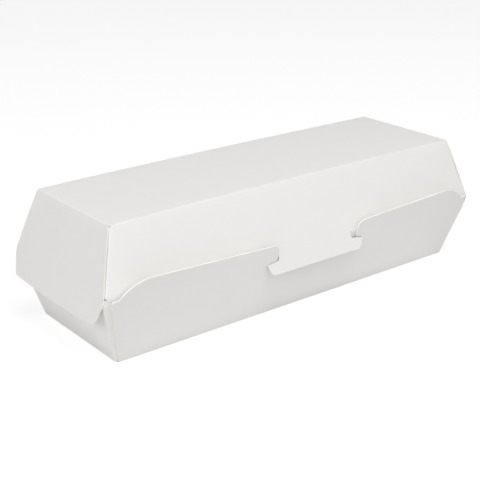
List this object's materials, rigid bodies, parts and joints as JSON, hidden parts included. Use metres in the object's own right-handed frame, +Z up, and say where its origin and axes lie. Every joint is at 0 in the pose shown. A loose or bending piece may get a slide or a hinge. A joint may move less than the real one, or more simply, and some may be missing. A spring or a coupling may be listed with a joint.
{
  "type": "hot dog box",
  "caption": "Closed white card clamshell tray for a hot dog, with a hinged lid whose tongue locks into a notch in the front wall.",
  "frame": {"origin": "centre of the base's underside, on the table", "axes": "+X along the box's length, with the lid's fold at the +Y side and the lock at the -Y side; +Z up"},
  "size_m": [0.2352, 0.0837, 0.0645],
  "materials": {
    "tray_card": "matte bleached card, smooth",
    "lid_card": "matte bleached card, smooth"
  },
  "bodies": {
    "tray": {"tray": "tray_card"},
    "lid": {"lid": "lid_card"}
  },
  "joints": [
    {"name": "lid_hinge", "type": "hinge", "parent": "tray", "child": "lid", "pos_m": [0, 0.0402, 0.031], "axis": [-1, 0, 0], "range_deg": [0, 175]}
  ]
}
